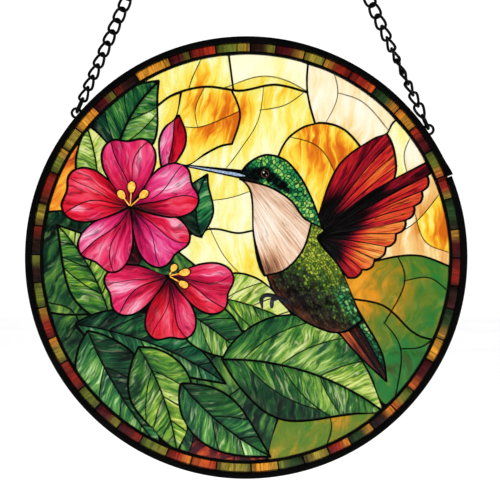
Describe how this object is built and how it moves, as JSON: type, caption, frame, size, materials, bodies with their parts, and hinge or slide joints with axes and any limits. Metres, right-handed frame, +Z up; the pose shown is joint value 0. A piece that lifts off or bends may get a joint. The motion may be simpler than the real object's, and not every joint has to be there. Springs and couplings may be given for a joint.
{
  "type": "stained glass suncatcher",
  "caption": "Round leaded glass suncatcher: a hummingbird at pink blossoms inside a tiled border, in a black channel rim, hung from a ring by chain strands",
  "frame": {"origin": "Where the hook bears: the inside top of the hanging ring, on the panel's middle plane", "axes": "+Z up, +X to the right of someone facing the picture, +Y away from them; the picture faces -Y"},
  "size_m": [0.1998, 0.0056, 0.3466],
  "materials": {
    "rim_black": "satin black paint on bent metal channel",
    "lead_black": "black patina on solder and lead lines",
    "chain_black": "satin black coated wire",
    "border_glass": "streaky maroon, orange, amber and olive tiles",
    "sky_glass": "streaky cream and amber opalescent",
    "field_glass": "streaky yellow-green to green",
    "foliage_glass": "dark green",
    "leaf_glass": "streaky green with painted veins",
    "petal_glass": "streaky pink to magenta and red",
    "bud_glass": "pink to red",
    "crown_glass": "iridescent green with painted scales",
    "throat_glass": "cream with fine painted streaks",
    "body_glass": "green to brown with painted scales",
    "tail_glass": "rust and black-brown",
    "wing_glass": "red to orange with painted feathers"
  },
  "bodies": {
    "root": {"border_glass_1": "border_glass", "border_glass_2": "border_glass", "border_glass_3": "border_glass", "border_glass_4": "border_glass", "chain_left": "chain_black", "chain_right": "chain_black", "eye_left": "chain_black", "eye_right": "chain_black", "glass_body": "body_glass", "glass_bud": "bud_glass", "glass_crown": "crown_glass", "glass_field_1": "field_glass", "glass_field_2": "field_glass", "glass_field_3": "field_glass", "glass_foliage_1": "foliage_glass", "glass_foliage_2": "foliage_glass", "glass_foliage_3": "foliage_glass", "glass_foliage_4": "foliage_glass", "glass_foliage_5": "foliage_glass", "glass_foliage_6": "foliage_glass", "glass_leaf_big_1": "leaf_glass", "glass_leaf_big_2": "leaf_glass", "glass_leaf_by_bird": "leaf_glass", "glass_leaf_corner": "leaf_glass", "glass_leaf_foot": "leaf_glass", "glass_leaf_left_high": "leaf_glass", "glass_leaf_left_low": "leaf_glass", "glass_leaf_long": "leaf_glass", "glass_leaf_low": "leaf_glass", "glass_leaf_middle": "leaf_glass", "glass_leaf_top_1": "leaf_glass", "glass_leaf_top_2": "leaf_glass", "glass_leaf_under": "leaf_glass", "glass_petal_high_1": "petal_glass", "glass_petal_high_2": "petal_glass", "glass_petal_high_3": "petal_glass", "glass_petal_high_4": "petal_glass", "glass_petal_high_5": "petal_glass", "glass_petal_low_1": "petal_glass", "glass_petal_low_2": "petal_glass", "glass_petal_low_3": "petal_glass", "glass_sky_1": "sky_glass", "glass_sky_10": "sky_glass", "glass_sky_11": "sky_glass", "glass_sky_2": "sky_glass", "glass_sky_3": "sky_glass", "glass_sky_4": "sky_glass", "glass_sky_5": "sky_glass", "glass_sky_6": "sky_glass", "glass_sky_7": "sky_glass", "glass_sky_8": "sky_glass", "glass_sky_9": "sky_glass", "glass_tail": "tail_glass", "glass_throat": "throat_glass", "glass_wing_back": "wing_glass", "glass_wing_front_1": "wing_glass", "glass_wing_front_2": "wing_glass", "hanging_ring": "chain_black", "leading": "lead_black", "rim": "rim_black"}
  },
  "joints": []
}
